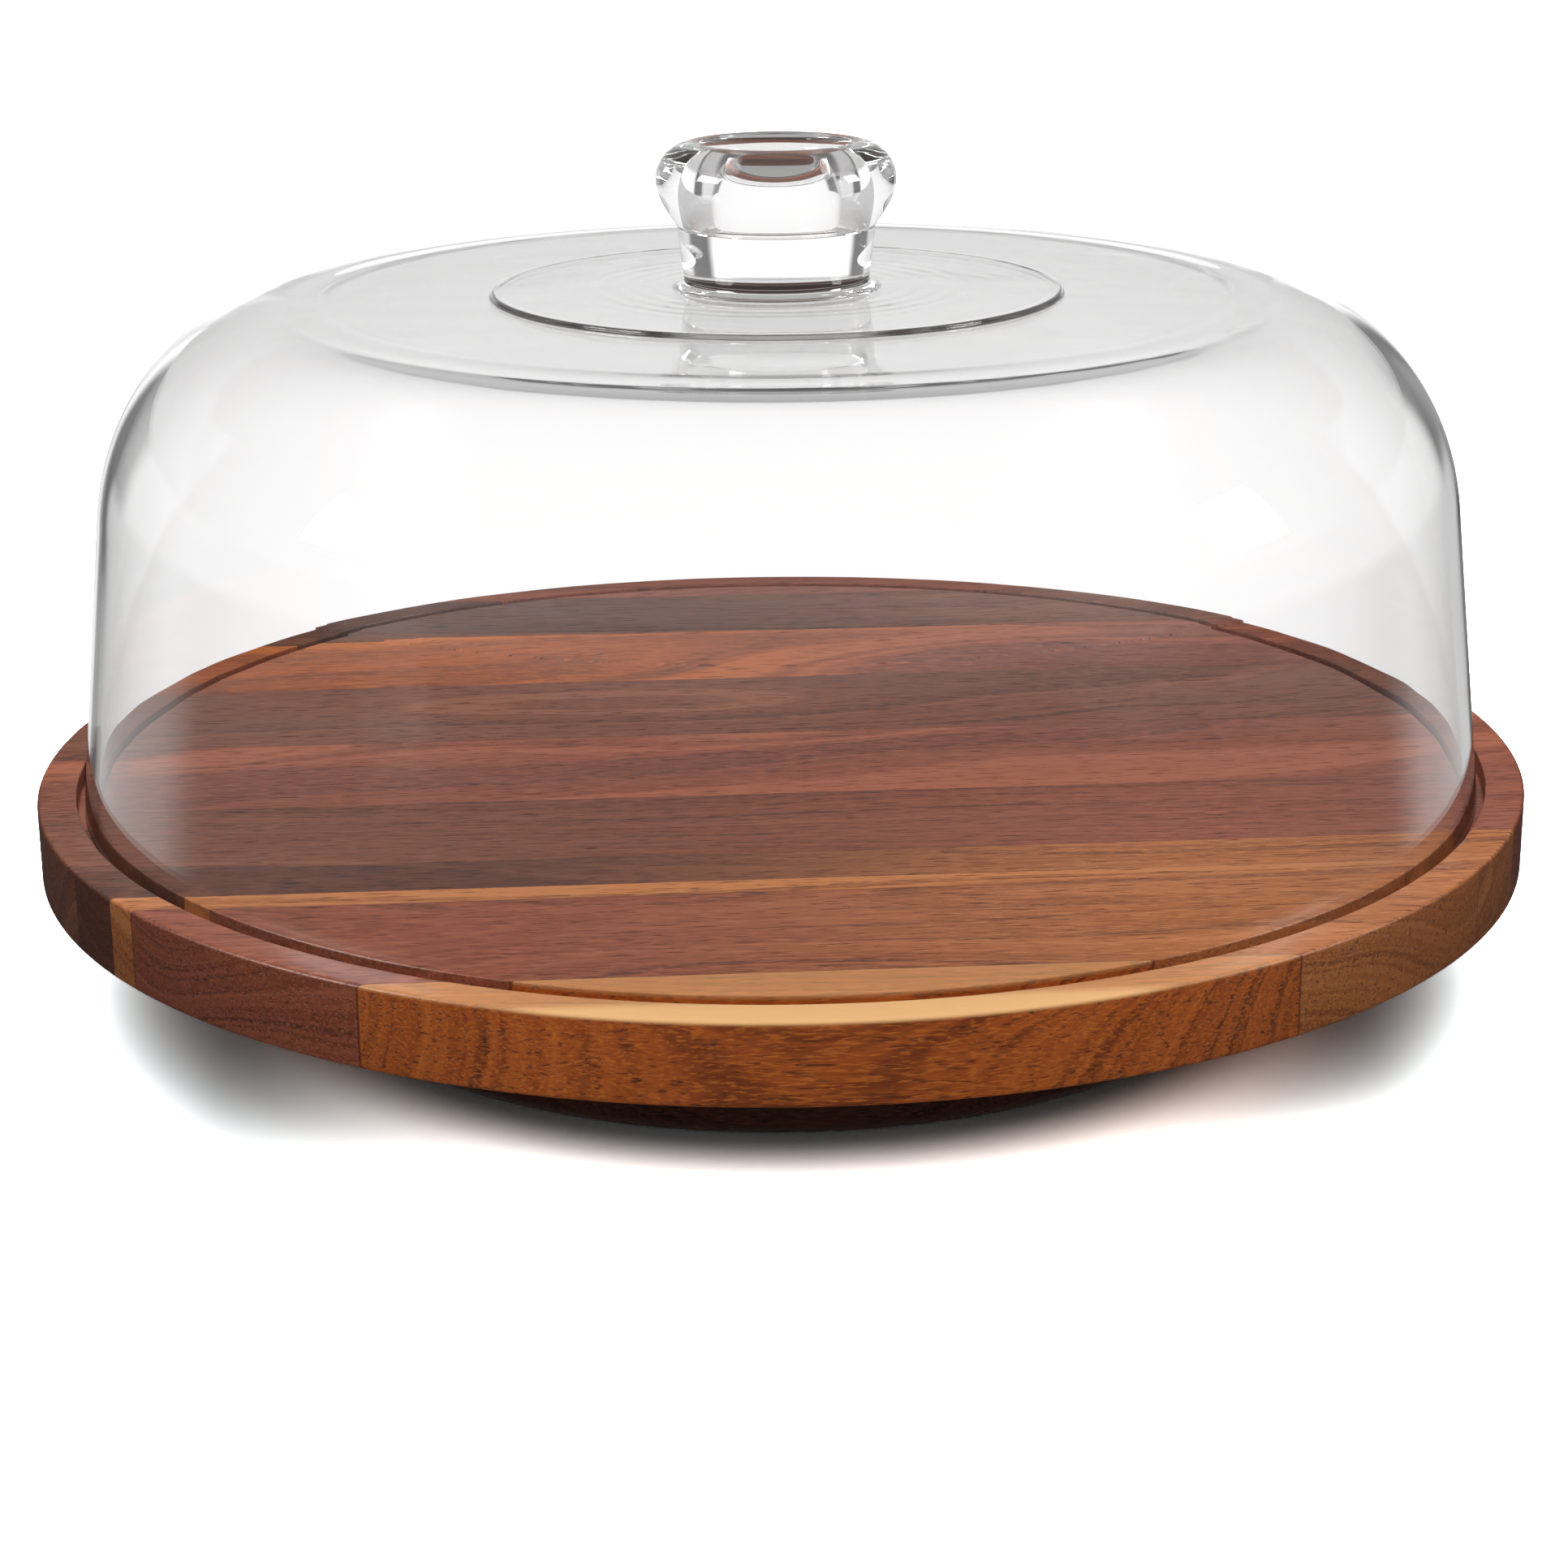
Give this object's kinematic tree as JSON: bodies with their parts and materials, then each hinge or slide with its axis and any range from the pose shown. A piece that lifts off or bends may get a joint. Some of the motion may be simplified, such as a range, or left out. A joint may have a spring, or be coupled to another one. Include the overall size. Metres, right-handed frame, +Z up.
{
  "type": "rotating cake stand with dome",
  "caption": "Round wooden serving board that turns on a smaller base, with a grooved rim and a clear glass dome with a glass knob that lifts off.",
  "frame": {"origin": "on the table, under the centre of the stand", "axes": "+Z up along the turning axis; X along the grain of the board's staves; -Y towards the front"},
  "size_m": [0.33, 0.33, 0.1864],
  "materials": {
    "acacia_golden": "oiled, satin",
    "acacia_red": "oiled, satin",
    "acacia_dark": "oiled, satin",
    "acacia_tan": "oiled, satin",
    "acacia_brown": "oiled, satin",
    "foot_rubber": "matt",
    "bearing_aluminium": "turned, satin",
    "cage_nylon": "moulded, matt",
    "ball_steel": "polished",
    "screw_steel": "zinc plated",
    "dome_glass": "clear, polished",
    "knob_glass": "clear, polished"
  },
  "bodies": {
    "base": {"base_stave_1": "acacia_dark", "base_stave_2": "acacia_red", "base_stave_3": "acacia_brown", "base_stave_4": "acacia_dark", "base_stave_5": "acacia_red", "foot_1": "foot_rubber", "foot_2": "foot_rubber", "foot_3": "foot_rubber", "foot_4": "foot_rubber", "bearing_outer_ring": "bearing_aluminium", "outer_ring_screw_1": "screw_steel", "outer_ring_screw_2": "screw_steel", "outer_ring_screw_3": "screw_steel", "outer_ring_screw_4": "screw_steel"},
    "ball_cage": {"ball_cage": "cage_nylon", "bearing_ball_01": "ball_steel", "bearing_ball_02": "ball_steel", "bearing_ball_03": "ball_steel", "bearing_ball_04": "ball_steel", "bearing_ball_05": "ball_steel", "bearing_ball_06": "ball_steel", "bearing_ball_07": "ball_steel", "bearing_ball_08": "ball_steel", "bearing_ball_09": "ball_steel", "bearing_ball_10": "ball_steel", "bearing_ball_11": "ball_steel", "bearing_ball_12": "ball_steel", "bearing_ball_13": "ball_steel", "bearing_ball_14": "ball_steel", "bearing_ball_15": "ball_steel", "bearing_ball_16": "ball_steel"},
    "turntable": {"board_stave_01": "acacia_golden", "board_stave_02": "acacia_red", "board_stave_03": "acacia_tan", "board_stave_04": "acacia_dark", "board_stave_05": "acacia_brown", "board_stave_06": "acacia_red", "board_stave_07": "acacia_brown", "board_stave_08": "acacia_golden", "board_stave_09": "acacia_dark", "board_stave_10": "acacia_red", "bearing_inner_ring": "bearing_aluminium", "inner_ring_screw_1": "screw_steel", "inner_ring_screw_2": "screw_steel", "inner_ring_screw_3": "screw_steel", "inner_ring_screw_4": "screw_steel"},
    "dome": {"dome_shell": "dome_glass", "dome_knob": "knob_glass"}
  },
  "joints": [
    {"name": "turntable_spin", "type": "hinge", "parent": "base", "child": "turntable", "pos_m": [0, 0, 0.028], "axis": [0, 0, 1], "continuous": true},
    {"name": "cage_spin", "type": "hinge", "parent": "base", "child": "ball_cage", "pos_m": [0, 0, 0.028], "axis": [0, 0, 1], "continuous": true},
    {"name": "dome_lift", "type": "slide", "parent": "turntable", "child": "dome", "axis": [0, 0, 1], "range_m": [0, 0.2]}
  ],
  "couplings": [
    {"joint": "cage_spin", "follows": "turntable_spin", "ratio": 0.5}
  ]
}
